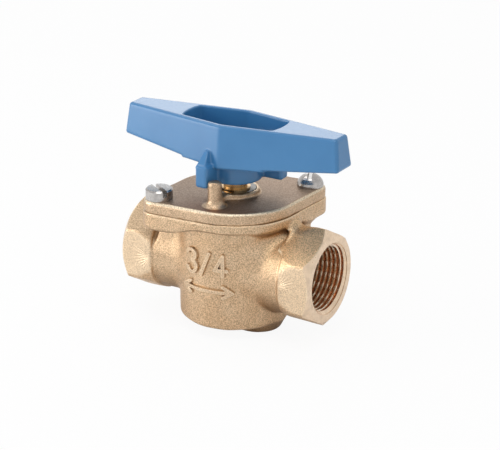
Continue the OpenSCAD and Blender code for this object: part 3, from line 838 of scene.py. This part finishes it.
def cast_brass(name, light, dark, edge_mm, shaded_top=False, port_ends=False):
    """Sand-cast brass: painted shade, with some dirt, in its corners and under overhangs, and edges
    lightened partly by rubbed wear and partly by a painted highlight.
    """
    g = new_graph(name)
    grain = g.noise(0.42, 3, 0.6)
    sand = g.noise(1.3, 4, 0.6)
    cloud = g.noise(9, 3, 0.55)
    tone = g.mix(g.spread(cloud, 0.3, 0.72), light, dark)
    rough = g.spread(sand, 0.25, 0.75, 0.34, 0.46)
    coarse = g.bump(sand, 0.4, 0.22)
    fleck, relief = FLECK, RELIEF
    # Flat top of the cover, which takes the painted shade.
    if shaded_top:
        top = g.times(g.spread(g.upward(), *FLAT_TOP), g.zone(g.part("Z"), *ON_PLATE, 1, 0))
        tone = cover_tones(g, tone, top)
        rough = g.plus(rough, g.times(top, TOP_ROUGHER))
    if port_ends:
        outer = g.zone(g.math("ABSOLUTE", g.part("X")), *ON_HEXAGON)
        side_flat = g.times(outer, g.spread(g.math("ABSOLUTE", g.upward()), *UPRIGHT, 1, 0))
        tone = body_tones(g, tone, outer, side_flat)
        fleck = g.spread(side_flat, 0, 1, BODY_FLECK, FLAT_FLECK)
        relief = g.spread(side_flat, 0, 1, RELIEF, FLAT_RELIEF)
        coarse = g.bump(shrink_fan(g), 0.4, 0.12, coarse)
    specked = g.mix(g.spread(grain, 0.4, 0.62), tone, g.mix(fleck, tone, SPECK))
    # Edges lightened, partly rubbed wear and partly a painted highlight.
    rubbed_and_lit = g.mix(g.spread(g.open_share(edge_mm, True), 0.92, 0.5), specked, RUBBED_AND_HIGHLIGHT)
    # Painted shade, partly dirt, in corners and under overhangs.
    clean_and_unshaded = g.spread(g.open_share(3.0, False), 0.2, 0.85, 0.5, 1)
    g.surface(Base_Color=g.mix(clean_and_unshaded, DIRT_AND_PAINTED_SHADE, rubbed_and_lit), Metallic=1.0, Roughness=rough,
              Normal=g.bump(grain, relief, 0.14, coarse))
    return g.owner


def turned_metal(name, colour, roughness, ring_mm, depth, about_port=False):
    """Machined metal with fine turning rings about the port axis or the stem axis."""
    g = new_graph(name)
    wobble = g.plus(g.times(g.noise(3, 2), 0.2 * MM), g.radius(about_port))
    rings = g.math("SINE", g.times(wobble, 2 * math.pi / (ring_mm * MM)))
    blotch = g.noise(2.5, 4, 0.6)
    g.surface(Base_Color=g.mix(g.spread(blotch, 0.4, 0.75), colour, darker(colour, 0.78)), Metallic=1.0,
              Roughness=g.spread(blotch, 0.3, 0.7, roughness - 0.05, roughness + 0.08),
              Normal=g.bump(rings, depth, 0.02))
    return g.owner


def thread_metal(name):
    """Cut thread: bright crests, and painted shade in the grooves."""
    g = new_graph(name)
    deep = g.zone(g.radius(True), CREST_R + 0.25, PITCH_R + 0.1)
    blotch = g.noise(1.5, 3, 0.6)
    # Grooves darker towards the root: painted shade.
    groove = g.mix(blotch, GROOVE_PAINTED_SHADE_DARK, GROOVE_PAINTED_SHADE_LIGHT)
    g.surface(Base_Color=g.mix(deep, THREAD_CREST, groove), Metallic=1.0,
              Roughness=g.spread(blotch, 0.3, 0.7, 0.24, 0.34), Normal=g.bump(blotch, 0.06, 0.03))
    return g.owner


def plated_steel(name, light, retoned):
    """Plated steel with a thin uneven film, darker on the faces that point up."""
    g = new_graph(name)
    film = g.noise(1.4, 4, 0.6)
    scratch = g.noise(0.25, 2, 0.5)
    tone = g.mix(g.spread(film, 0.35, 0.7), light, darker(light, 0.7))
    tone = g.mix(g.spread(g.upward(), *PLATED_TOP), tone, retoned)
    g.surface(Base_Color=tone, Metallic=1.0, Roughness=g.spread(film, 0.3, 0.7, 0.18, 0.3),
              Normal=g.bump(scratch, 0.12, 0.03))
    return g.owner


def blue_coat(name):
    """Blue moulding with a slight orange peel under a thin gloss."""
    g = new_graph(name)
    peel = g.noise(0.9, 2, 0.5)
    cloud = g.noise(14, 3, 0.5)
    g.surface(Base_Color=g.mix(g.spread(cloud, 0.3, 0.7), BLUE_LIGHT, BLUE_DARK),
              Roughness=g.spread(peel, 0.3, 0.7, 0.28, 0.34), Coat_Weight=0.35, Coat_Roughness=0.12,
              Normal=g.bump(peel, 0.05, 0.05))
    return g.owner


def soft_material(name, colour, roughness, scale_mm):
    """Dull mottled plastic or rubber."""
    g = new_graph(name)
    mottle = g.noise(scale_mm, 3, 0.6)
    g.surface(Base_Color=g.mix(g.spread(mottle, 0.35, 0.7), colour, darker(colour, 0.8)),
              Roughness=g.spread(mottle, 0.3, 0.7, roughness - 0.06, roughness + 0.06),
              Normal=g.bump(mottle, 0.1, 0.04))
    return g.owner


BODY_CAST = cast_brass("cast_body", (0.88, 0.645, 0.42, 1), (0.77, 0.53, 0.32, 1), 1.0, port_ends=True)
# Raised marks in a lighter tone than the body: a painted highlight.
MARK_CAST_PAINTED_LIGHT = cast_brass("cast_marks", (0.92, 0.7, 0.48, 1), (0.84, 0.61, 0.395, 1), 0.55)
COVER_CAST = cast_brass("cast_cover", (0.8, 0.585, 0.39, 1), (0.7, 0.5, 0.325, 1), 0.5, shaded_top=True)
FACED = turned_metal("faced_port", (0.95, 0.735, 0.53, 1), 0.3, 0.22, 0.25, about_port=True)
THREAD = thread_metal("cut_thread")
BORED = turned_metal("bored_stem_side", (0.72, 0.54, 0.36, 1), 0.32, 0.25, 0.2)
STEM_BRASS = turned_metal("stem_brass", (0.74, 0.5, 0.25, 1), 0.26, 0.3, 0.1)
# Near-black brass for the gland washer: painted shade in the recess around the stem.
BRASS_PAINTED_SHADE = turned_metal("oiled_brass", (0.09, 0.055, 0.035, 1), 0.5, 0.3, 0.1)
PLATED = plated_steel("plated_steel", (0.6, 0.57, 0.545, 1), (0.3, 0.29, 0.28, 1))
SPRING = plated_steel("spring_steel", (0.13, 0.125, 0.12, 1), (0.08, 0.076, 0.07, 1))
BLUE = blue_coat("blue_coat")
PTFE = soft_material("ptfe", (0.82, 0.8, 0.76, 1), 0.45, 1.2)
RUBBER = soft_material("rubber", (0.025, 0.025, 0.027, 1), 0.55, 0.6)

# Material slots of the body and the cover
BODY_SLOTS = (BODY_CAST, FACED, BORED, THREAD, MARK_CAST_PAINTED_LIGHT)
COVER_SLOTS = (COVER_CAST, BORED)

# Segments of turned cutters, small to large, and the angle above which the handle's edges stay sharp
HOLE_SEGMENTS = 48
BUSH_SEGMENTS = 64
CHAMBER_SEGMENTS = 128
PORT_SEGMENTS = 144
HANDLE_SHARP = 50


# Pieces
def ear_holes(piece, radius, low, high, slot):
    """Screw holes through both ears."""
    for diagonal in (1, -1):
        hole = cylinder("screw_hole", radius, low, high, HOLE_SEGMENTS)
        hole.data.transform(Matrix.Translation(Vector((1, 1, 0)) * diagonal * EAR_U * MM / math.sqrt(2)))
        carve(piece, paint(hole, slot))


def body_casting():
    limits = (body_low - [CUT_SPARE, 0, 0], body_high + [CUT_SPARE, 0, CUT_SPARE])
    low, high = body_low - BODY_MARGIN, body_high + BODY_MARGIN
    piece = skin("body_casting", body_form, low, high, BODY_CELL, limits)
    for finish in BODY_SLOTS:
        piece.data.materials.append(finish)
    faced, bored, thread, retoned = range(1, len(BODY_SLOTS))
    # Raised marks take the lighter tone, a painted highlight.
    carve(piece, paint(raised_marks(), retoned), "UNION")
    deck_top = JOINT_Z + CUT_SPARE
    carve(piece, paint(cylinder("deck", CUT_R, JOINT_Z, deck_top), bored))
    chamber = cylinder("chamber", CHAMBER_R, CHAMBER_FLOOR, deck_top, CHAMBER_SEGMENTS)
    carve(piece, paint(chamber, bored))
    bush_hole = cylinder("bush_hole", BUSH_R, BUSH_FLOOR, CHAMBER_FLOOR + RUN_ON, BUSH_SEGMENTS)
    carve(piece, paint(bush_hole, bored))
    ear_holes(piece, SCREW_HOLE_R, JOINT_Z - SCREW_HOLE_DEPTH, deck_top, bored)
    for side in (1, -1):
        carve(piece, paint(along_port(passage(), side), faced))
        carve(piece, paint(along_port(threaded_socket(), side), thread))
        carve(piece, paint(along_port(mouth(), side), faced))
        carve(piece, paint(along_port(end_turning(), side), faced))
    smooth(piece)
    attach(piece, "housing")
    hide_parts("valve_body")


def raised_marks():
    """Size figure and flow arrow on the front of the barrel, from a block that lies under its surface."""
    places = [np.arange(-half, half + MARK_CELL, MARK_CELL) for half in MARK_HALF]
    grid = np.stack(np.meshgrid(*places, indexing="ij"), -1)
    proud = 1 - step(mark_gap(grid), MARK_STROKE - MARK_SLOPE, MARK_STROKE + MARK_SLOPE)
    height = grid[..., 1] + AXIS_Z
    turn = grid[..., 0] / BARREL_R
    surface = barrel_radius(height)
    sheets = []
    for radius in (surface - MARK_SINK + (MARK_SINK + MARK_RISE) * proud, surface - MARK_DEPTH):
        sheets.append(np.stack([radius * np.sin(turn), -radius * np.cos(turn), height], -1).reshape(-1, 3))
    number = np.arange(height.size).reshape(height.shape)
    corners = [number[:-1, :-1], number[1:, :-1], number[1:, 1:], number[:-1, 1:]]
    front = np.stack(corners, -1).reshape(-1, 4)
    rim = np.concatenate([number[:-1, 0], number[-1, :-1], number[:0:-1, -1], number[0, :0:-1]])
    after = np.roll(rim, -1)
    walls = np.stack([rim, rim + number.size, after + number.size, after], -1)
    faces = np.concatenate([front, front[:, ::-1] + number.size, walls])
    mesh = bpy.data.meshes.new("raised_marks")
    mesh.from_pydata((np.concatenate(sheets) * MM).tolist(), [], faces.tolist())
    return link("raised_marks", mesh)


def passage():
    """Seat pocket and flow bore from the chamber to the socket."""
    end = SOCKET_START + RUN_ON
    return turned("passage", [(0, PASSAGE_START), (SEAT_R, PASSAGE_START), (SEAT_R, SEAT_END),
                              (FLOW_R, SEAT_END), (FLOW_R, end), (0, end)])


def threaded_socket():
    rows = np.arange(SOCKET_START, PORT_END + OVERLAP, THREAD_PITCH / THREAD_ROWS)
    profile = [(0, SOCKET_START)] + [(None, row) for row in rows] + [(0, rows[-1])]
    return turned("threaded_socket", profile, PORT_SEGMENTS, thread_radius)


def mouth():
    """Lead-in cone at the port's mouth, with a short land."""
    foot = PORT_END - MOUTH_R + CREST_R - MOUTH_LEAD
    land = PORT_END - MOUTH_LAND
    end = PORT_END + OVERLAP
    return turned("mouth", [(0, foot), (CREST_R - MOUTH_LEAD, foot), (MOUTH_R - MOUTH_STEP, land),
                            (MOUTH_R, land), (MOUTH_R, end), (0, end)], PORT_SEGMENTS)


def end_turning():
    """Cuts the port's flat face and the cone over the hexagon's corners."""
    back = PORT_END - CORNER_CUT * (TURNING_R - FACE_R) / (HEX_CORNER_R - FACE_R)
    rim = TURNING_R + CUT_SPARE
    end = PORT_END + CUT_SPARE
    return turned("end_turning", [(0, PORT_END), (FACE_R, PORT_END), (TURNING_R, back), (rim, back),
                                  (rim, end), (0, end)], PORT_SEGMENTS)


def cover_casting():
    limits = (cover_low, cover_high)
    piece = skin("cover_casting", cover_form, COVER_GRID_LOW, COVER_GRID_HIGH, COVER_CELL, limits)
    for finish in COVER_SLOTS:
        piece.data.materials.append(finish)
    bored = 1
    below = JOINT_Z - CUT_SPARE
    carve(piece, paint(cylinder("under", CUT_R, below, JOINT_Z), bored))
    spigot = cylinder("spigot", SPIGOT_R, SPIGOT_Z, JOINT_Z + OVERLAP, CHAMBER_SEGMENTS)
    carve(piece, paint(spigot, bored), "UNION")
    carve(piece, paint(cover_bores(), bored))
    groove = cylinder("groove", SPIGOT_R + CUT_SPARE, GROOVE_LOW, GROOVE_HIGH, CHAMBER_SEGMENTS)
    carve(groove, cylinder("core", GROOVE_R, SPIGOT_Z, JOINT_Z, CHAMBER_SEGMENTS))
    carve(piece, paint(groove, bored))
    ear_holes(piece, COVER_HOLE_R, below, COVER_TOP + CUT_SPARE, bored)
    smooth(piece)
    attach(piece, "housing")
    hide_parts("cover")


def cover_bores():
    """Stem bore, the wider bore of the bush, and the recess inside the raised ring."""
    low = SPIGOT_Z - OVERLAP
    top = RING_TOP + CUT_SPARE
    return turned("bores", [(0, low), (STEM_BORE_R, low), (STEM_BORE_R, BUSH_BORE_Z),
                            (BUSH_BORE_R, BUSH_BORE_Z), (BUSH_BORE_R, RECESS_Z),
                            (RECESS_R, RECESS_Z), (RECESS_R, top), (0, top)])


def handle_moulding():
    limits = (handle_low, handle_high)
    low, high = handle_low - HANDLE_MARGIN, handle_high + HANDLE_MARGIN
    piece = skin("handle_moulding", handle_form, low, high, HANDLE_CELL, limits)
    piece.data.materials.append(BLUE)
    socket = cylinder("square", SQUARE / math.sqrt(2), HUB_Z - CUT_SPARE, SOCKET_TOP, 4)
    socket.data.transform(Matrix.Rotation(math.pi / 4, 4, "Z"))
    carve(piece, socket)
    hole = cylinder("hole", HANDLE_HOLE_R, SOCKET_TOP - OVERLAP, POCKET_Z + OVERLAP, HOLE_SEGMENTS)
    carve(piece, hole)
    smooth(piece, HANDLE_SHARP)
    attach(piece, "spindle")
    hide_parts("handle")


SCREW_EDGE = 0.18
FINE_EDGE = 0.1


def dress(node, finish, edge_mm=0.0):
    """Material, soft shading and a small edge break on a piece that the frame carries."""
    piece = frame["nodes"][node]
    piece.data.materials.clear()
    piece.data.materials.append(finish)
    smooth(piece)
    if edge_mm:
        bevel = piece.modifiers.new("edge_break", "BEVEL")
        bevel.width = edge_mm * MM
        bevel.segments = 2
        bevel.limit_method = "ANGLE"
        bevel.angle_limit = math.radians(40)


body_casting()
cover_casting()
handle_moulding()
for node in ("cover_screw_left", "cover_screw_right", "handle_screw"):
    dress(node, PLATED, SCREW_EDGE)
dress("retaining_ring", SPRING, FINE_EDGE)
dress("handle_washer", PLATED, FINE_EDGE)
dress("stem", STEM_BRASS, FINE_EDGE)
# Gland washer near black: painted shade in the recess.
dress("gland_washer", BRASS_PAINTED_SHADE, FINE_EDGE)
dress("plug", BORED)
for node in ("lower_bush", "lower_thrust_washer", "seat_ring_left", "seat_ring_right",
             "stem_thrust_washer", "stem_bush"):
    dress(node, PTFE)
for node in ("cover_o_ring", "seat_o_ring_left", "seat_o_ring_right", "stem_o_ring_lower",
             "stem_o_ring_upper"):
    dress(node, RUBBER)

# Stage, light and camera, in metres and watts
FLOOR_HALF = 2.5
FLOOR_GREY = (0.91, 0.91, 0.91, 1)
FLOOR_SEEN = 0.92
FLOOR_MIRRORED = 0.1
SKY_TOP = (0.7, 0.7, 0.71, 1)
SKY_RISE = 0.9
SKY_STRENGTH = 0.8
SKY_MIRRORED = 0.2
LAMP_TARGET = Vector((0, 0, 0.03))
LAMPS = (
    ("left", (-0.45, -0.36, 0.17), 0.36, 1.3),
    ("above", (0.1, -0.27, 0.8), 0.34, 1.2),
    ("behind", (-0.62, 1.03, 0.5), 0.5, 1.2),
    ("top", (-0.42, 0.06, 0.78), 0.36, 0.7),
)


def floor():
    """White floor: seen as an even white, and lit by the lamps elsewhere."""
    mesh = bpy.data.meshes.new("floor")
    corners = [(x * FLOOR_HALF, y * FLOOR_HALF, 0) for x, y in ((-1, -1), (1, -1), (1, 1), (-1, 1))]
    mesh.from_pydata(corners, [], [(0, 1, 2, 3)])
    piece = link("floor", mesh)
    g = new_graph("floor_white")
    g.surface(Base_Color=FLOOR_GREY, Roughness=0.9)
    glow = g.node("ShaderNodeEmission", Color=WHITE, Strength=1.0).outputs["Emission"]
    ray = g.node("ShaderNodeLightPath").outputs
    seen = g.times(ray["Is Camera Ray"], FLOOR_SEEN)
    share = g.plus(seen, g.times(ray["Is Glossy Ray"], FLOOR_MIRRORED))
    paint_coat = g.tree.nodes["Principled BSDF"].outputs["BSDF"]
    g.put(g.tree.nodes["Material Output"].inputs["Surface"], g.blend(share, paint_coat, glow))
    mesh.materials.append(g.owner)


def world_light():
    """Soft sky that dims upwards, whiter in mirrors, and plain white where it is seen."""
    world = bpy.data.worlds.new("studio")
    bpy.context.scene.world = world
    g = Graph(world)
    direction = g.node("ShaderNodeTexCoord").outputs["Generated"]
    up = g.node("ShaderNodeSeparateXYZ", Vector=direction).outputs["Z"]
    sky = g.tree.nodes["Background"]
    g.fill(sky, {"Color": g.mix(g.spread(up, 0, SKY_RISE), WHITE, SKY_TOP), "Strength": SKY_STRENGTH})
    white = g.node("ShaderNodeBackground", Color=WHITE, Strength=1.0)
    ray = g.node("ShaderNodeLightPath").outputs
    seen = g.math("MAXIMUM", ray["Is Camera Ray"], ray["Is Transmission Ray"])
    share = g.spread(g.plus(seen, g.times(ray["Is Glossy Ray"], SKY_MIRRORED)), 0, 1)
    shader = g.blend(share, sky.outputs["Background"], white.outputs["Background"])
    g.put(g.tree.nodes["World Output"].inputs["Surface"], shader)


def aim(name, data, place, view):
    """Object at a place, looking along a direction."""
    piece = link(name, data)
    piece.location = place
    piece.rotation_mode = "QUATERNION"
    piece.rotation_quaternion = view.to_track_quat("-Z", "Y")
    return piece


def softbox(name, place, size, power):
    lamp = bpy.data.lights.new(name, "AREA")
    lamp.size = size
    lamp.energy = power
    aim(name, lamp, place, LAMP_TARGET - Vector(place))


def camera():
    """Camera of the photograph, with pixels in its 500 by 450 frame."""
    azimuth, elevation = math.radians(31.24), math.radians(22.27)
    distance = 0.654
    focal_px, image_w = 1748.8, 500
    middle_px, target_px = (250, 225), (235.53, 257.33)
    back = Vector((math.sin(azimuth) * math.cos(elevation), -math.cos(azimuth) * math.cos(elevation),
                   math.sin(elevation)))
    lens = bpy.data.cameras.new("camera")
    lens.sensor_width = 36
    lens.lens = focal_px * lens.sensor_width / image_w
    lens.shift_x = (middle_px[0] - target_px[0]) / image_w
    lens.shift_y = (target_px[1] - middle_px[1]) / image_w
    place = Vector((0, 0, AXIS_Z * MM)) + back * distance
    bpy.context.scene.camera = aim("camera", lens, place, -back)


floor()
world_light()
for lamp in LAMPS:
    softbox(*lamp)
camera()
bpy.context.scene.view_settings.view_transform = "Standard"
